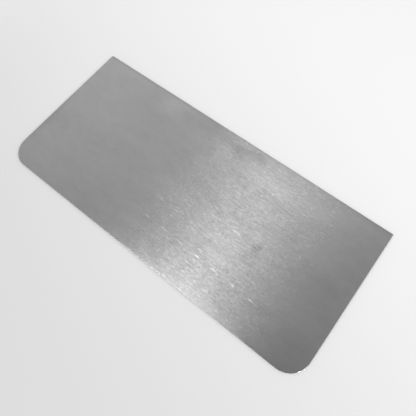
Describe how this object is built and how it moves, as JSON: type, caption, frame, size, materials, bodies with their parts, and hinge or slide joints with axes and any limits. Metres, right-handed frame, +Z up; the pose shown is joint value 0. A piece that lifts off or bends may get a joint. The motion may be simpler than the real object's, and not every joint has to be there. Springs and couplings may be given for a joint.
{
  "type": "icing smoother",
  "caption": "Flat stainless blade with one long straight edge and rounded grip corners, drawn upright round a cake to level its icing.",
  "frame": {"origin": "centre of the underside, on the surface that the blade lies on", "axes": "+X along the blade, +Y from the grip edge to the smoothing edge, +Z up through the sheet"},
  "size_m": [0.25, 0.112, 0.0012],
  "materials": {
    "stainless_sheet": "satin rolled sheet, with a fine grain along the blade"
  },
  "bodies": {
    "root": {"blade": "stainless_sheet"}
  },
  "joints": []
}
